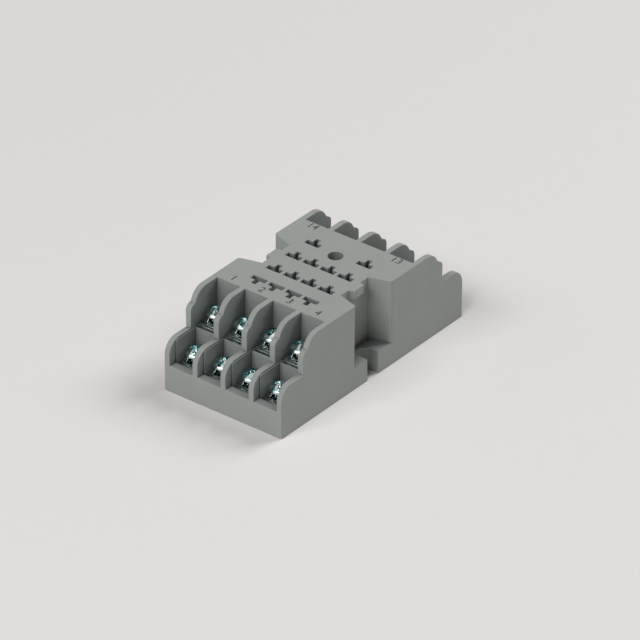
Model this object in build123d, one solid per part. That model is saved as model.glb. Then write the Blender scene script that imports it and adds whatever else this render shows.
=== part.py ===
from build123d import *
import os
from math import acos, degrees, sqrt

# A plug-in relay socket with screw terminals. Millimetres, +Z up, origin under the middle of the base.
# X runs across the socket, Y along it from the front end (-Y) to the rear end (+Y).

# Housing
length = 59.6
width = 30.0
height = 19.8
wall = 1.3              # outer side walls, and dividers between the terminal bays
columns = 4             # terminal bays side by side at each end
top_plate = 2.1
floor = 1.5             # moulded floors under the terminals
cross_wall = 1.4        # walls across the socket behind each tier
skirt = 1.8             # side and end walls around the hollow underside

# Terminal tiers: distances from mid length follow the length, heights are from the base
upper_back = 0.2416*length      # back wall of the upper bays
upper_seat = 11.4       # where the upper contact tabs lie
step_face = 0.3607*length       # front of the upper tier
lower_seat = 5.3        # where the lower contact tabs lie
lip_depth = 2.1         # plain lip in front of each lower tab
lip_height = 0.8        # lip above the lower seat
pad = 0.2               # thickening of the lower bay walls beside the tabs, up to the hump

# Side outline of the walls and dividers
hump_top = 11.75
hump_radius = 3.3
shoulder_ahead = 1.4    # shoulder in front of the upper tier
shoulder_drop = 2.85    # shoulder below the top
shoulder_radius = 1.5
crown_radius = 3.7

# Waist with its mounting feet and the tab at its top
waist_half_width = 10.1
waist_half_length = 4.4     # along the inner wall
waist_mouth = 5.9           # half length at the side face
waist_wall = 1.5
corner_radius = 0.8
foot_height = 5.15
mount_slot = 3.54           # width of the open mounting slot
mount_centre = 13.0         # mounting screw axis from the middle
tab_reach = 1.2
tab_length = 3.2
tab_root = 4.0
tab_thickness = 2.1

# Blade slots of the relay and the round hole in the top
blade_inset = 2.0           # outer blade columns inside the waist wall
row_pitch = 0.1057*length
first_row = -0.175*length
blade_slot = (1.05, 2.65)   # across, along
window_bridge = 0.8         # plastic left between the clip windows of a row
window_along = 1.25
hole_share = 0.75           # hole diameter against the blade column pitch
hole_at = 0.1133*length
hole_wall = 0.7

# Base plate
base_thickness = 1.6
base_ledge = 0.8
base_gap = 0.1
rib_thickness = 1.4
snap_length = 8.0
snap_depth = 0.25
snap_height = 0.6
snap_root = 0.2             # bead sunk in the plate's edge

# Terminal screw with its clamp saddle, and the contact strip
thread_share = 0.566        # thread diameter against the head diameter
thread_gap = 0.05
screw_length = 5.0
head_beside = 0.2875        # head to the bay wall
head_back = {"upper": 0.45, "lower": 0.15}      # head to the wall behind it
head_rim = 1.0
head_crown = 0.6
crown_bevel = 0.8           # bevel round the flat top of the head
driver_slot = (0.9, 0.9)    # width, depth
cross_share = 0.56          # cross recess against the head diameter
slot_heading = 95.0         # usual direction of the driver slots, in degrees from +X
slot_scatter = 9.0          # degrees, step between the differing turns of the screws
clamp_height = 1.55         # top of the saddle above the contact tab
clamp_sheet = 0.45
clamp_gap = 0.1
top_share = 0.4             # saddle's flat top, slanted legs, feet and length against the head diameter
leg_share = 0.66
foot_share = 0.8
length_share = 0.81
tip_pocket = 3.7
strip = 0.8
tab_beside = 0.3375         # contact tab to the bay wall
contact_gap = 0.15
ridge_pitch = 0.8
ridge_depth = 0.3
ridges = 2
leaf = 0.4
leaf_width = 1.05
pinch = 0.4                 # opening between the leaves where they grip a blade
pinch_below = 2.7           # pinch below the top face
flare_below = 0.7           # leaf ends below the top face
leaf_spread = 0.4           # sideways lean of a leaf from its root to the pinch
past = 1.0                  # cutters run on past the faces that they open
sunk = 0.1                  # pieces of one solid run this far into each other

# Worked out from the sizes above
bay_pitch = (width - wall)/columns
bay_width = bay_pitch - wall
tab_width = bay_width - 2*tab_beside
head_diameter = bay_width - 2*head_beside
thread = thread_share*head_diameter
lip_back = length/2 - lip_depth
shoulder_edge = step_face + shoulder_ahead
shoulder_top = height - shoulder_drop
hollow_half_width = width/2 - skirt
waist_hollow = waist_half_width - waist_wall
column_pitch = 2*(waist_hollow - blade_inset)/(columns - 1)
clip_window = (column_pitch - window_bridge, window_along)
neck = column_pitch/2       # width of the contact strips
hole_diameter = hole_share*column_pitch
waist_slope = (waist_mouth - waist_half_length)/(width/2 - waist_half_width)
waist_keep = waist_mouth + waist_wall
seat = {"upper": upper_seat, "lower": lower_seat}
bay_back = {"upper": upper_back, "lower": step_face}
screw_at = {tier: bay_back[tier] + head_back[tier] + head_diameter/2 for tier in bay_back}
tab_back = {tier: bay_back[tier] + contact_gap for tier in bay_back}
tab_front = {"upper": step_face - contact_gap, "lower": lip_back - contact_gap}
window_back = {tier: bay_back[tier] - cross_wall for tier in bay_back}
cross_shift = (blade_slot[1] - clip_window[1])/2

# Number, end, tier and column of every terminal; each serves one blade
terminals = [(1 + column, -1, "upper", column) for column in range(columns)]
terminals += [(1 + columns + column, -1, "lower", column) for column in range(columns)]
terminals += [(1 + 2*columns + column, 1, "lower", column) for column in range(columns)]
terminals += [(3*columns + 1, 1, "upper", columns - 1), (3*columns + 2, 1, "upper", 0)]
row_of = {(-1, "upper"): 0, (-1, "lower"): 1, (1, "lower"): 2, (1, "upper"): 3}


def block(x, y, z):
    """Box between (low, high) pairs along X, Y and Z."""
    spans = (x, y, z)
    middle = [(low + high)/2 for low, high in spans]
    return Pos(*middle)*Box(*[high - low for low, high in spans])


def centred(size, middle=0.0):
    """Span of a size about its middle."""
    return (middle - size/2, middle + size/2)


def both_ends(shape):
    """A rear-end shape together with its mirror image at the front end."""
    return shape + mirror(shape, about=Plane.XZ)


def at_end(shape, end):
    """A shape drawn for the rear end, mirrored where it belongs to the front."""
    return shape if end > 0 else mirror(shape, about=Plane.XZ)


def bay_x(column):
    return (column - (columns - 1)/2)*bay_pitch


def blade_x(column):
    return (column - (columns - 1)/2)*column_pitch


def blade_y(end, tier):
    return first_row + row_pitch*row_of[end, tier]


def window_y(end, tier):
    """Middle of the cross window: behind the blade in the first row, before it in the others."""
    shift = cross_shift if row_of[end, tier] == 0 else -cross_shift
    return blade_y(end, tier) + shift


def neck_x(end, tier, column):
    """Where a contact's neck leaves its tab: as near its blade as the tab and the hole's wall allow."""
    side = 1 if bay_x(column) > 0 else -1
    inner = abs(bay_x(column)) - (tab_width - neck)/2
    if (end, tier) == (1, "lower"):
        inner = max(inner, hole_diameter/2 + hole_wall + 2*contact_gap + neck/2)
    return side*max(inner, abs(blade_x(column)))


def wall_outline():
    """Half of the side outline: low hump, straight shoulder and crowned top of every wall."""
    end = length/2
    hump_z = hump_top - hump_radius
    shoulder_y = shoulder_edge - shoulder_radius
    crown_z = height - crown_radius
    crown_lift = shoulder_top - crown_z
    crown_y = shoulder_y - sqrt(crown_radius**2 - crown_lift**2)
    crown_angle = 90 - degrees(acos(crown_lift/crown_radius))
    return make_face([
        Line((0, 0), (end, 0)),
        Line((end, 0), (end, hump_z)),
        CenterArc((end - hump_radius, hump_z), hump_radius, 0, 90),
        Line((end - hump_radius, hump_top), (shoulder_edge, hump_top)),
        Line((shoulder_edge, hump_top), (shoulder_edge, shoulder_top - shoulder_radius)),
        CenterArc((shoulder_y, shoulder_top - shoulder_radius), shoulder_radius, 0, 90),
        CenterArc((crown_y, crown_z), crown_radius, crown_angle, 90 - crown_angle),
        Line((crown_y, height), (0, height)),
        Line((0, height), (0, 0)),
    ])


def bay_void(x):
    """Open terminal bay at the rear end: upper tier, lower tier between its pads, and front lip."""
    beyond = length/2 + past
    full = centred(bay_width, x)
    void = block(full, (upper_back, beyond), (upper_seat, height + past))
    void += block(full, (step_face, beyond), (hump_top, height))
    void += block(full, (lip_back, beyond), (lower_seat + lip_height, height))
    return void + block(centred(bay_width - 2*pad, x), (step_face, lip_back), (lower_seat, height))


def waist_void():
    """Recess on the right-hand side above the feet, with its slanted ends."""
    beyond = width/2 + past
    mouth = waist_mouth + past*waist_slope
    plan = Polygon((waist_half_width, -waist_half_length), (beyond, -mouth), (beyond, mouth),
                   (waist_half_width, waist_half_length), align=None)
    return extrude(Pos(0, 0, foot_height)*plan, amount=height, dir=(0, 0, 1))


def mount_void():
    """Open mounting slot between the two feet on the right-hand side, round at its inner end."""
    slot = block((mount_centre, width), centred(mount_slot), (-past, foot_height + past))
    return slot + Pos(mount_centre, 0, foot_height/2)*Cylinder(mount_slot/2, foot_height + 2*past)


def waist_tab():
    """Small tab at the top of the right-hand waist, with sloping roots."""
    tip = waist_half_width + tab_reach
    root = waist_half_width - waist_wall/2
    plan = Polygon((root, -tab_root/2), (waist_half_width, -tab_root/2), (tip, -tab_length/2),
                   (tip, tab_length/2), (waist_half_width, tab_root/2), (root, tab_root/2), align=None)
    return extrude(Pos(0, 0, height - tab_thickness)*plan, amount=tab_thickness, dir=(0, 0, 1))


def both_sides(shape):
    """A right-hand shape together with its mirror image on the left."""
    return shape + mirror(shape, about=Plane.YZ)


def chamber(front, rear, low, high, grow=0.0):
    """Hollow across the inside of the housing, narrowed where the waist comes in."""
    half = hollow_half_width + grow
    hollow = block((-half, half), (front, rear), (low, high))
    keep = block((waist_hollow + grow, width), centred(2*(waist_keep - grow)), (low - past, high + past))
    return hollow - both_sides(keep)


def housing_hollow():
    """Space for the contact strips, open below, with shelves left under the upper clips."""
    under_top = height - top_plate
    back = upper_back - cross_wall
    shelf_front = window_y(-1, "upper") + leaf_width/2 + contact_gap
    shelf_rear = window_y(1, "upper") - leaf_width/2 - contact_gap
    below = -past
    hollow = chamber(shelf_front, shelf_rear, below, under_top)
    hollow += chamber(-back, back, upper_seat, under_top)
    under_upper = step_face - cross_wall
    hollow += chamber(-under_upper, under_upper, below, upper_seat - floor)
    under_lower = length/2 - skirt
    hollow += chamber(-under_lower, under_lower, below, lower_seat - floor)
    hollow += chamber(-under_lower - base_ledge, under_lower + base_ledge, below, base_thickness, base_ledge)
    post = Pos(0, hole_at, height/2)*Cylinder(hole_diameter/2 + hole_wall, height)
    return hollow - Pos(0, 0, base_thickness)*post


def contact_void(end, tier, column):
    """Openings for one contact: blade slot, clip window, neck window and room for the screw tip."""
    x = blade_x(column)
    through = (height - top_plate - past, height + past)
    void = block(centred(blade_slot[0], x), centred(blade_slot[1], blade_y(end, tier)), through)
    void += block(centred(clip_window[0], x), centred(clip_window[1], window_y(end, tier)), through)
    low = seat[tier]
    neck_span = centred(neck + 2*contact_gap, neck_x(end, tier, column))
    passage = block(neck_span, (window_back[tier] - sunk, tab_back[tier]), (low, low + strip + contact_gap))
    pocket_x = centred(tip_pocket, bay_x(column))
    passage += block(pocket_x, centred(tip_pocket, screw_at[tier]), (low - floor - past, low + sunk))
    return void + at_end(passage, end)


def snap_beads(grow=0.0):
    """Wedge beads along the long edges of the base plate, or the grooves that take them."""
    edge = hollow_half_width + base_ledge - base_gap
    middle = base_thickness/2
    section = Polygon((edge - snap_root, middle - snap_height/2 - grow), (edge + snap_depth + grow, middle),
                      (edge - snap_root, middle + snap_height/2 + grow), align=None)
    bead = extrude(Plane.XZ*section, amount=(snap_length + 2*grow)/2, both=True)
    place = (waist_keep + length/2)/2
    return both_sides(both_ends(Pos(0, place, 0)*bead))


def at_waist_mouth(point):
    """Whether a point is on one of the four upright corners of the waist at the side faces."""
    return abs(abs(point.X) - width/2) < sunk and abs(abs(point.Y) - waist_mouth) < sunk


def housing():
    """One-piece moulded housing."""
    body = both_ends(extrude(Plane.YZ*wall_outline(), amount=width/2, both=True))
    for column in range(columns):
        body -= both_ends(bay_void(bay_x(column)))
    body -= both_sides(waist_void())
    upright = body.edges().filter_by(Axis.Z)
    body = fillet([edge for edge in upright if at_waist_mouth(edge.center())], corner_radius)
    body -= both_sides(mount_void())
    body -= housing_hollow()
    body += both_sides(waist_tab())
    body -= Pos(0, hole_at, height/2)*Cylinder(hole_diameter/2, height + 2*past)
    for number, end, tier, column in terminals:
        body -= contact_void(end, tier, column)
    return body - snap_beads(base_gap/2)


def base_plate():
    """Plate that snaps into the underside, with a rib under each row of long contact strips."""
    edge = base_ledge - base_gap
    end = length/2 - skirt + edge
    plate = chamber(-end, end, 0, base_thickness, edge)
    for end_side in (-1, 1):
        span = centred(rib_thickness, window_y(end_side, "lower"))
        plate += block(centred(2*(waist_hollow - base_gap)), span, (base_thickness - sunk, lower_seat))
    return plate + snap_beads()


def contact_leaf(low):
    """One spring leaf of a blade clip, leaning in to its pinch and flaring at its end."""
    root = pinch/2 + leaf_spread
    pinch_z = height - pinch_below
    end_z = height - flare_below
    flare = clip_window[0]/2 - contact_gap - leaf
    straight = low + (pinch_z - low)/2
    inner = [(root, low), (root, straight), (pinch/2, pinch_z), (flare, end_z)]
    outer = [(x + leaf, z) for x, z in reversed(inner)]
    return extrude(Plane.XZ*Polygon(*inner, *outer, align=None), amount=leaf_width/2, both=True)


def bend_span(end, tier, column):
    """Where a strip shifts from its neck to its blade: past the wall of the hole, else before the waist."""
    clip_edge = abs(window_y(end, tier)) + leaf_width/2
    if (end, tier) == (1, "lower") and abs(bay_x(column)) < bay_pitch:
        return hole_at - hole_diameter/2 - hole_wall, clip_edge
    return upper_back - cross_wall, max(clip_edge, waist_keep + contact_gap)


def contact(end, tier, column):
    """Stamped contact strip: ridged screw tab, neck through the wall and a two-leaf clip."""
    low = seat[tier]
    top = low + strip
    x_neck = neck_x(end, tier, column)
    x_blade = blade_x(column)
    clip_y = abs(window_y(end, tier))
    bend_start, bend_end = bend_span(end, tier, column)
    route = [(x_neck, tab_back[tier]), (x_neck, bend_start), (x_blade, bend_end),
             (x_blade, clip_y - leaf_width/2)]
    left = [(x - neck/2, y) for x, y in route]
    right = [(x + neck/2, y) for x, y in reversed(route)]
    strip_plan = Polygon(*left, *right, align=None)
    piece = extrude(Pos(0, 0, low)*strip_plan, amount=strip, dir=(0, 0, 1))
    piece += block(centred(tab_width, bay_x(column)), (tab_back[tier], tab_front[tier]), (low, top))
    for turn in (0, 180):
        piece += Pos(x_blade, clip_y, 0)*Rot(0, 0, turn)*contact_leaf(low)
    piece -= Pos(bay_x(column), screw_at[tier], low)*Cylinder(thread/2 + thread_gap, 4*strip)
    groove = Polygon((-ridge_pitch/2, 0), (0, -ridge_depth), (ridge_pitch/2, 0), align=None)
    cutter = extrude(Plane.YZ*groove, amount=tab_width, both=True)
    for count in range(ridges):
        piece -= Pos(bay_x(column), tab_front[tier] - ridge_pitch*(count + 0.75), top)*cutter
    return at_end(piece, end)


def clamp_saddle(end, tier, column):
    """Bent saddle under the screw head: flat top, two slanted legs and short feet turned outwards."""
    top, leg, foot = [share*head_diameter/2 for share in (top_share, leg_share, foot_share)]
    slant = clamp_sheet*(leg - top)/clamp_height
    half = [(top + slant - clamp_sheet, clamp_height - clamp_sheet), (leg - clamp_sheet, 0), (foot, 0),
            (foot, clamp_sheet), (leg - slant, clamp_sheet), (top, clamp_height)]
    section = Polygon(*half, *[(-x, z) for x, z in reversed(half)], align=None)
    saddle = extrude(Plane.XZ*section, amount=length_share*head_diameter/2, both=True)
    saddle -= Cylinder(thread/2 + clamp_gap, 4*clamp_height)
    return Pos(bay_x(column), end*screw_at[tier], seat[tier] + strip)*saddle


def terminal_screw(number, end, tier, column):
    """Pan-head terminal screw with a slot and a cross in its head."""
    head = head_diameter/2
    crown_top = head_rim + head_crown
    outline = Polygon((0, -screw_length), (thread/2, -screw_length), (thread/2, 0), (head, 0),
                      (head, head_rim), (head - crown_bevel, crown_top), (0, crown_top), align=None)
    screw = revolve(Plane.XZ*outline, Axis.Z)
    bottom = crown_top - driver_slot[1]
    opening = (bottom, crown_top + past)
    screw -= block(centred(head_diameter + past), centred(driver_slot[0]), opening)
    screw -= block(centred(driver_slot[0]), centred(cross_share*head_diameter), opening)
    under_head = seat[tier] + strip + clamp_height
    turn = slot_heading + slot_scatter*(5*number % 7 - 3)
    return Pos(bay_x(column), end*screw_at[tier], under_head)*Rot(0, 0, turn)*screw


def build():
    """Every piece of the socket by name."""
    pieces = {"housing": housing(), "base_plate": base_plate()}
    for number, end, tier, column in terminals:
        pieces[f"contact_{number:02d}"] = contact(end, tier, column)
        pieces[f"clamp_{number:02d}"] = clamp_saddle(end, tier, column)
        pieces[f"screw_{number:02d}"] = terminal_screw(number, end, tier, column)
    return pieces


os.makedirs("parts", exist_ok=True)
for name, piece in build().items():
    export_step(piece, f"parts/{name}.step")
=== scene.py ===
import math

import bmesh
import bpy
from mathutils import Matrix, Vector
from mathutils.bvhtree import BVHTree


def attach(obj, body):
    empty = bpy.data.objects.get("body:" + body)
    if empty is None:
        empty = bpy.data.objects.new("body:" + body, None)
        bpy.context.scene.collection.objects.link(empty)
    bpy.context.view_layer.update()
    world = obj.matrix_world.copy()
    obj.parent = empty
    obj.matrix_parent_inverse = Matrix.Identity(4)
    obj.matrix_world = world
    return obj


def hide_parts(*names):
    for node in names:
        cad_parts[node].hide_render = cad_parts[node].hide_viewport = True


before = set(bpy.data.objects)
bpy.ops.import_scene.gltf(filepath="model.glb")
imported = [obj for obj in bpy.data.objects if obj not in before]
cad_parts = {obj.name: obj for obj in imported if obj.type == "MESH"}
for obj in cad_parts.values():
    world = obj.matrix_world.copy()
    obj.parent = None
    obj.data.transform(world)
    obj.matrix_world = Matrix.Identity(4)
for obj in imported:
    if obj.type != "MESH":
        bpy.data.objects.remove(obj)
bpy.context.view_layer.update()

MM = 0.001

# Edges of the mouldings and stampings, in millimetres: rounding, and length of the shortest edge that is rounded
mould_radius, mould_shortest = 0.2, 0.3
plate_radius, plate_shortest = 0.12, 0.2
strip_radius, strip_shortest = 0.06, 0.15
rounding_steps = 3
weld = 0.002                # millimetres; points nearer than this count as one
flat_angle = 0.5            # degrees; flatter edges vanish
crisp_angle = 35.0          # degrees; flatter edges are facets of a curve
pressed_angle = 100.0       # degrees; the ridges pressed in the strips flow into each other

# Screws, in millimetres
around = 48                 # points in one turn
thread_pitch = 0.5
thread_steps = 6            # rings in one pitch
thread_depth = 0.28
thread_run = 5.0            # thread below the head
thread_radius = 1.5
tip_taper = 0.35
head_radius = 2.65
head_height = 1.6
head_edge = 0.1             # chamfer under the rim
rim_foot = 0.12             # upright foot of the rim
head_round = 0.75           # rounding of the head's rim
rim_slopes = range(0, 84, 12)       # degrees
crown_shares = (0.25, 0.5, 0.75)    # from the rim to the middle
slot_width = 0.9
slot_depth = 0.9
cross_length = 2.97
cut_past = 1.0              # cutters reach past the head
recess_radius = 0.09        # edges of the slot and cross
recess_angle = 50.0         # degrees; sharper edges are rounded
slot_heading = 95.0         # usual direction of the driver slots, in degrees from +X
slot_scatter = 9.0          # degrees, step between the differing turns of the screws

# Terminal numbers in the top, in millimetres
top_height = 19.8
numeral_height = 1.9
font_share = 1.4            # font size against the height of a numeral
numeral_depth = 0.25
numeral_weld = 0.001
front_numerals_y = -12.7
rear_numerals_y = 13.0

# Places of the terminals, in millimetres from the middle of the base
bay_pitch = 7.175
columns = 4
screw_at = {"upper": 17.499, "lower": 24.2977}
under_head = {"upper": 13.77, "lower": 7.67}    # just clear of the saddles
terminals = [(1 + c, -1, "upper", c) for c in range(columns)]
terminals += [(5 + c, -1, "lower", c) for c in range(columns)]
terminals += [(9 + c, 1, "lower", c) for c in range(columns)]
terminals += [(13, 1, "upper", 3), (14, 1, "upper", 0)]

# View of the photograph, in degrees and millimetres
camera_azimuth = 37.922
camera_elevation = 31.806
camera_roll = 0.270
camera_distance = 1441.995
camera_target = (2.879, -1.941, 9.9)
camera_lens = 401.68
sensor_width = 36.0

# Sockets of a colour Mix node
MIX_FACTOR, MIX_A, MIX_B, MIX_RESULT = 0, 6, 7, 2


def bay_x(column):
    return (column - (columns - 1)/2)*bay_pitch


def tint(code):
    """Linear colour from an sRGB hex code."""
    channels = [int(code[i:i + 2], 16)/255 for i in (1, 3, 5)]
    return [c/12.92 if c <= 0.04045 else ((c + 0.055)/1.055)**2.4 for c in channels] + [1.0]


def per_size(millimetres):
    """Noise scale that repeats about once in a size."""
    return 1/(millimetres*MM)


def add(tree, kind, feeds=None, **settings):
    """Adds one node with its settings; each feed is a value or the output that drives the input."""
    made = tree.nodes.new(kind)
    for name, value in settings.items():
        setattr(made, name, value)
    for name, value in (feeds or {}).items():
        if isinstance(value, bpy.types.NodeSocket):
            tree.links.new(value, made.inputs[name])
        else:
            made.inputs[name].default_value = value
    return made


def new_material(name):
    material = bpy.data.materials.new(name)
    material.use_nodes = True
    material.node_tree.nodes.clear()
    return material, material.node_tree


def moulded_plastic(name, dark, light):
    """Glass-filled thermoplastic from a spark-eroded mould: dull grey with faint flow clouds and a fine grain.

    The real grain, some hundredths of a millimetre, is too fine to show and is drawn coarser. It breaks the sheen
    up, so the shine is half that of a smooth surface. The colour is darkened with painted shade in the bays, and
    more in narrow clefts, where less light gets in on the real moulding than these few lamps would send.
    """
    material, tree = new_material(name)
    place = add(tree, "ShaderNodeTexCoord").outputs["Object"]
    flow = add(tree, "ShaderNodeTexNoise", {"Vector": place, "Scale": per_size(7), "Detail": 3.0})
    grain = add(tree, "ShaderNodeTexNoise", {"Vector": place, "Scale": per_size(0.3), "Detail": 2.0})
    shade = add(tree, "ShaderNodeMix", {
        MIX_FACTOR: flow.outputs[0], MIX_A: tint(dark), MIX_B: tint(light)}, data_type="RGBA")
    # Painted shade: the moulding's own occlusion darkens its colour in bays and recesses, and a short-reach one
    # darkens narrow clefts nearly to black
    recess = add(tree, "ShaderNodeAmbientOcclusion", {"Distance": 14*MM}, samples=8, only_local=True)
    recess_shade = add(tree, "ShaderNodeMapRange", {
        "Value": recess.outputs["AO"], "From Min": 0.1, "From Max": 0.75, "To Min": 0.48, "To Max": 1.0})
    cleft = add(tree, "ShaderNodeAmbientOcclusion", {"Distance": 2*MM}, samples=8, only_local=True)
    cleft_shade = add(tree, "ShaderNodeMapRange", {
        "Value": cleft.outputs["AO"], "From Min": 0.1, "From Max": 0.65, "To Min": 0.08, "To Max": 1.0})
    # Painted shade: both occlusion darkenings multiply the plastic's colour
    painted_shade = add(tree, "ShaderNodeMath", {0: recess_shade.outputs[0], 1: cleft_shade.outputs[0]}, operation="MULTIPLY")
    painted_shade_colour = add(tree, "ShaderNodeMix", {
        MIX_FACTOR: 1.0, MIX_A: shade.outputs[MIX_RESULT], MIX_B: painted_shade.outputs[0]},
        data_type="RGBA", blend_type="MULTIPLY")
    gloss = add(tree, "ShaderNodeMapRange", {"Value": grain.outputs[0], "To Min": 0.5, "To Max": 0.66})
    relief = add(tree, "ShaderNodeBump", {"Height": grain.outputs[0], "Strength": 0.25, "Distance": 0.03*MM})
    shader = add(tree, "ShaderNodeBsdfPrincipled", {
        "Base Color": painted_shade_colour.outputs[MIX_RESULT], "Roughness": gloss.outputs[0], "IOR": 1.53,
        "Specular IOR Level": 0.25, "Normal": relief.outputs[0]})
    add(tree, "ShaderNodeOutputMaterial", {"Surface": shader.outputs[0]})
    return material


def plated_metal(name, dark, light, rough, cloud):
    """Plated stampings and screws: bright metal, with clouds of tint and soft pits left by the plating.

    The real pits, some hundredths of a millimetre, are too fine to show and are drawn coarser.
    """
    material, tree = new_material(name)
    place = add(tree, "ShaderNodeTexCoord").outputs["Object"]
    clouds = add(tree, "ShaderNodeTexNoise", {"Vector": place, "Scale": per_size(cloud), "Detail": 2.0})
    pits = add(tree, "ShaderNodeTexNoise", {"Vector": place, "Scale": per_size(0.18), "Detail": 2.0})
    spread = add(tree, "ShaderNodeMapRange", {"Value": clouds.outputs[0], "From Min": 0.35, "From Max": 0.65})
    shade = add(tree, "ShaderNodeMix", {
        MIX_FACTOR: spread.outputs[0], MIX_A: tint(dark), MIX_B: tint(light)}, data_type="RGBA")
    gloss = add(tree, "ShaderNodeMapRange", {
        "Value": pits.outputs[0], "To Min": rough - 0.06, "To Max": rough + 0.08})
    relief = add(tree, "ShaderNodeBump", {"Height": pits.outputs[0], "Strength": 0.3, "Distance": 0.02*MM})
    shader = add(tree, "ShaderNodeBsdfPrincipled", {
        "Base Color": shade.outputs[MIX_RESULT], "Metallic": 1.0, "Roughness": gloss.outputs[0],
        "Normal": relief.outputs[0]})
    add(tree, "ShaderNodeOutputMaterial", {"Surface": shader.outputs[0]})
    return material


def matt_paper(name, dark, light):
    """Uncoated paper sheet: pale and without shine, its fibres seen only as a very faint cloudiness."""
    material, tree = new_material(name)
    place = add(tree, "ShaderNodeTexCoord").outputs["Object"]
    fibre = add(tree, "ShaderNodeTexNoise", {"Vector": place, "Scale": per_size(3), "Detail": 3.0})
    shade = add(tree, "ShaderNodeMix", {
        MIX_FACTOR: fibre.outputs[0], MIX_A: tint(dark), MIX_B: tint(light)}, data_type="RGBA")
    shader = add(tree, "ShaderNodeBsdfPrincipled", {
        "Base Color": shade.outputs[MIX_RESULT], "Roughness": 0.9, "Specular IOR Level": 0.2})
    add(tree, "ShaderNodeOutputMaterial", {"Surface": shader.outputs[0]})
    return material


def linked_object(name, data):
    thing = bpy.data.objects.new(name, data)
    bpy.context.scene.collection.objects.link(thing)
    return thing


def finished_mesh(work, name):
    """A mesh of what a workbench mesh holds; the workbench mesh goes."""
    mesh = bpy.data.meshes.new(name)
    work.to_mesh(mesh)
    work.free()
    return mesh


def evaluated_mesh(thing):
    """Mesh of an object as its modifiers leave it; the object goes."""
    bpy.context.view_layer.update()
    graph = bpy.context.evaluated_depsgraph_get()
    mesh = bpy.data.meshes.new_from_object(thing.evaluated_get(graph))
    mesh.transform(thing.matrix_world)
    bpy.data.objects.remove(thing)
    return mesh


def add_cut(body, tool):
    """A modifier that takes one object out of another."""
    cut = body.modifiers.new("cut", "BOOLEAN")
    cut.operation = "DIFFERENCE"
    cut.solver = "EXACT"
    cut.object = tool
    return cut


def shade_by_angle(mesh, degrees):
    """Smooth shading that stays crisp at edges sharper than an angle."""
    work = bmesh.new()
    work.from_mesh(mesh)
    for face in work.faces:
        face.smooth = True
    for edge in work.edges:
        edge.smooth = edge.is_manifold and edge.calc_face_angle() < math.radians(degrees)
    work.to_mesh(mesh)
    work.free()


def new_piece(name, mesh, material, body, node):
    """A dressed piece that rides on a body in place of a solid, which it hides."""
    piece = linked_object(name, mesh)
    mesh.materials.clear()
    mesh.materials.append(material)
    flat = piece.modifiers.new("flat_faces", "WEIGHTED_NORMAL")
    flat.keep_sharp = True
    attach(piece, body)
    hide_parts(node)


def has_room(edge, radius, skin):
    """Whether the surface runs on flat for two radii on both sides of an edge."""
    first, last = (vert.co for vert in edge.verts)
    for loop in edge.link_loops:
        inward = edge.calc_tangent(loop)*radius*2*MM
        for share in (0.1, 0.5, 0.9):
            *_, distance = skin.find_nearest(first.lerp(last, share) + inward)
            if distance > weld*MM:
                return False
    return True


def rounded_copy(node, radius, shortest, crisp):
    """A copy of a solid with its outer edges rounded."""
    work = bmesh.new()
    work.from_mesh(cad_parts[node].data)
    bmesh.ops.remove_doubles(work, verts=work.verts, dist=weld*MM)
    bmesh.ops.dissolve_limit(work, angle_limit=math.radians(flat_angle), verts=work.verts, edges=work.edges)
    skin = BVHTree.FromBMesh(work)
    outer = [edge for edge in work.edges if edge.is_manifold and edge.is_convex
             and edge.calc_face_angle() > math.radians(crisp_angle) and edge.calc_length() > shortest*MM
             and has_room(edge, radius, skin)]
    bmesh.ops.bevel(work, geom=outer, offset=radius*MM, offset_type="OFFSET", segments=rounding_steps,
                    profile=0.5, affect="EDGES", clamp_overlap=False)
    mesh = finished_mesh(work, node)
    shade_by_angle(mesh, crisp)
    return mesh


def thread_radius_at(height, angle):
    """Radius of the screw thread at a height and angle."""
    turn = (height/thread_pitch - angle/(2*math.pi)) % 1.0
    crest = 1 - abs(2*turn - 1)
    return thread_radius - thread_depth*(1 - crest)


def head_outline():
    """Radius and height of each ring of the head, from its underside over the rim to near the middle."""
    outline = [(head_radius - head_edge, 0.0), (head_radius, head_edge)]
    for degrees in rim_slopes:
        slope = math.radians(degrees)
        outline.append((head_radius - head_round*(1 - math.cos(slope)), rim_foot + head_round*math.sin(slope)))
    edge_radius, edge_height = outline[-1]
    for share in crown_shares:
        outline.append((edge_radius*(1 - share), head_height - (head_height - edge_height)*(1 - share)**2))
    return outline


def screw_blank():
    """Turned screw before its head is slotted."""
    angles = [2*math.pi*step/around for step in range(around)]
    step = thread_pitch/thread_steps
    rings = []
    for index in range(int(thread_run/step) + 1):
        z = -thread_run + index*step
        taper = tip_taper if index == 0 else 0.0
        rings.append([(thread_radius_at(z, angle) - taper, z) for angle in angles])
    rings += [[(r, z)]*around for r, z in head_outline()]
    work = bmesh.new()
    rows = [[work.verts.new((r*math.cos(angle)*MM, r*math.sin(angle)*MM, z*MM))
             for angle, (r, z) in zip(angles, ring)] for ring in rings]
    for low, high in zip(rows, rows[1:]):
        for index in range(around):
            after = (index + 1) % around
            work.faces.new((low[index], low[after], high[after], high[index]))
    work.faces.new(list(reversed(rows[0])))
    work.faces.new(rows[-1])
    return finished_mesh(work, "screw_blank")


def screw_mesh():
    """Pan-head screw with a thread, a domed crown, and a slot and cross cut in its head."""
    cutter = bmesh.new()
    for across, along in ((2*head_radius + cut_past, slot_width), (slot_width, cross_length)):
        place = Matrix.Translation((0, 0, (head_height + cut_past/2 - slot_depth/2)*MM))
        size = Matrix.Diagonal((across*MM, along*MM, (slot_depth + cut_past)*MM, 1))
        bmesh.ops.create_cube(cutter, size=1.0, matrix=place @ size)
    body = linked_object("screw_blank", screw_blank())
    recess = linked_object("driver_recess", finished_mesh(cutter, "driver_recess"))
    add_cut(body, recess).use_self = True
    soft = body.modifiers.new("soft", "BEVEL")
    soft.width = recess_radius*MM
    soft.segments = 2
    soft.limit_method = "ANGLE"
    soft.angle_limit = math.radians(recess_angle)
    mesh = evaluated_mesh(body)
    bpy.data.objects.remove(recess)
    return mesh


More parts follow.
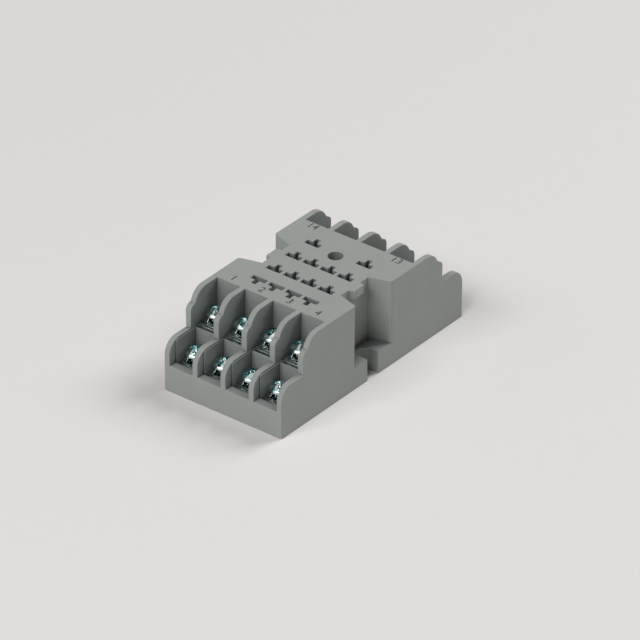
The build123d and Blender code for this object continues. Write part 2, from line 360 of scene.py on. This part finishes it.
def numeral(text, x, y):
    """Solid of a small number that reaches into the top face."""
    letters = bpy.data.curves.new("number_" + text, "FONT")
    letters.body = text
    letters.align_x = "CENTER"
    letters.align_y = "CENTER"
    letters.size = numeral_height*font_share*MM
    letters.extrude = numeral_depth*MM
    thing = linked_object("number_" + text, letters)
    thing.location = (x*MM, y*MM, top_height*MM)
    return evaluated_mesh(thing)


def numbered(mesh):
    """The housing with the terminal numbers sunk in its top."""
    cutter = bmesh.new()
    for number, end, tier, column in terminals:
        if tier == "upper":
            y = front_numerals_y if end < 0 else rear_numerals_y
            cutter.from_mesh(numeral(str(number), bay_x(column), y))
    bmesh.ops.remove_doubles(cutter, verts=cutter.verts, dist=numeral_weld*MM)
    body = linked_object("numbered_housing", mesh)
    digits = linked_object("numbers", finished_mesh(cutter, "numbers"))
    add_cut(body, digits)
    result = evaluated_mesh(body)
    bpy.data.objects.remove(digits)
    shade_by_angle(result, crisp_angle)
    return result


def softbox(name, direction, distance, across, high, level):
    """Area lamp that gives a flat surface facing it a level, where 1 shows a colour as written."""
    lamp = bpy.data.lights.new(name, "AREA")
    lamp.shape = "RECTANGLE"
    lamp.size = across
    lamp.size_y = high
    lamp.energy = level*math.pi*math.pi*distance**2
    thing = linked_object(name, lamp)
    way = Vector(direction).normalized()
    thing.location = way*distance
    thing.rotation_euler = way.to_track_quat("Z", "Y").to_euler()


# Materials
housing_plastic = moulded_plastic("moulded grey polyamide", "#909491", "#989c99")
base_plastic = moulded_plastic("moulded dark grey polyamide", "#3a3c3c", "#424444")
zinc = plated_metal("blue passivated zinc plate", "#7ea9ad", "#eef2f1", 0.1, 1.1)
tinned = plated_metal("tinned brass strip", "#8d9594", "#d3d9d8", 0.08, 1.2)
paper = matt_paper("pale matt paper", "#e3e1df", "#e5e3e1")

# Mouldings
shell = rounded_copy("housing", mould_radius, mould_shortest, crisp_angle)
new_piece("moulded_housing", numbered(shell), housing_plastic, "socket", "housing")
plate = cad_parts["base_plate"].data
plate.materials.clear()
plate.materials.append(base_plastic)

# Stampings
for number, end, tier, column in terminals:
    tag = f"{number:02d}"
    strip = rounded_copy("contact_" + tag, strip_radius, strip_shortest, pressed_angle)
    new_piece("stamped_strip_" + tag, strip, tinned, "socket", "contact_" + tag)
    clamp = rounded_copy("clamp_" + tag, plate_radius, plate_shortest, crisp_angle)
    new_piece("stamped_clamp_" + tag, clamp, zinc, "clamp_" + tag, "clamp_" + tag)

# Screws
turned_screw = screw_mesh()
for number, end, tier, column in terminals:
    tag = f"{number:02d}"
    screw = turned_screw.copy()
    place = Vector((bay_x(column), end*screw_at[tier], under_head[tier]))*MM
    turn = math.radians(slot_heading + slot_scatter*(5*number % 7 - 3))
    screw.transform(Matrix.Translation(place) @ Matrix.Rotation(turn, 4, "Z"))
    shade_by_angle(screw, crisp_angle)
    new_piece("terminal_screw_" + tag, screw, zinc, "screw_" + tag, "screw_" + tag)

# Floor
sheet = bmesh.new()
bmesh.ops.create_grid(sheet, x_segments=1, y_segments=1, size=2.0)
floor = linked_object("floor", finished_mesh(sheet, "floor"))
floor.data.materials.append(paper)

# Soft studio light: faint even surroundings, a lamp behind the right, a wide lamp before the front and a weak
# strip on the left; the background shows pale by itself and in the metal
surroundings = bpy.data.worlds.new("surroundings")
bpy.context.scene.world = surroundings
surroundings.use_nodes = True
world_tree = surroundings.node_tree
world_tree.nodes.clear()
sight = add(world_tree, "ShaderNodeLightPath").outputs
mirrored = add(world_tree, "ShaderNodeMath", {
    0: sight["Is Glossy Ray"], 1: sight["Is Transmission Ray"]}, operation="MAXIMUM")
seen = add(world_tree, "ShaderNodeMath", {
    0: sight["Is Camera Ray"], 1: mirrored.outputs[0]}, operation="MAXIMUM")
glow = add(world_tree, "ShaderNodeBackground", {"Color": tint("#ffffff"), "Strength": 0.06})
pale = add(world_tree, "ShaderNodeBackground", {"Color": tint("#f4f2f0")})
sky = add(world_tree, "ShaderNodeMixShader", {0: seen.outputs[0], 1: glow.outputs[0], 2: pale.outputs[0]})
add(world_tree, "ShaderNodeOutputWorld", {"Surface": sky.outputs[0]})
softbox("lamp_rear_right", (0.42, 1.0, 1.0), 1.4, 0.65, 0.65, 0.63)
softbox("lamp_front", (0.02, -1.0, 0.95), 1.5, 1.2, 0.5, 0.72)
softbox("screen_left", (-0.7, -0.7, 0.5), 1.5, 1.3, 0.25, 0.07)

# Camera
azimuth = math.radians(camera_azimuth)
elevation = math.radians(camera_elevation)
back = Vector((math.sin(azimuth)*math.cos(elevation), -math.cos(azimuth)*math.cos(elevation),
               math.sin(elevation)))
eye = bpy.data.cameras.new("camera")
eye.lens = camera_lens
eye.sensor_width = sensor_width
eye.clip_end = 10.0
viewer = linked_object("camera", eye)
aim = back.to_track_quat("Z", "Y").to_matrix().to_4x4()
station = Matrix.Translation((Vector(camera_target) + back*camera_distance)*MM)
viewer.matrix_world = station @ aim @ Matrix.Rotation(math.radians(camera_roll), 4, "Z")
bpy.context.scene.camera = viewer
bpy.context.scene.view_settings.view_transform = "Standard"
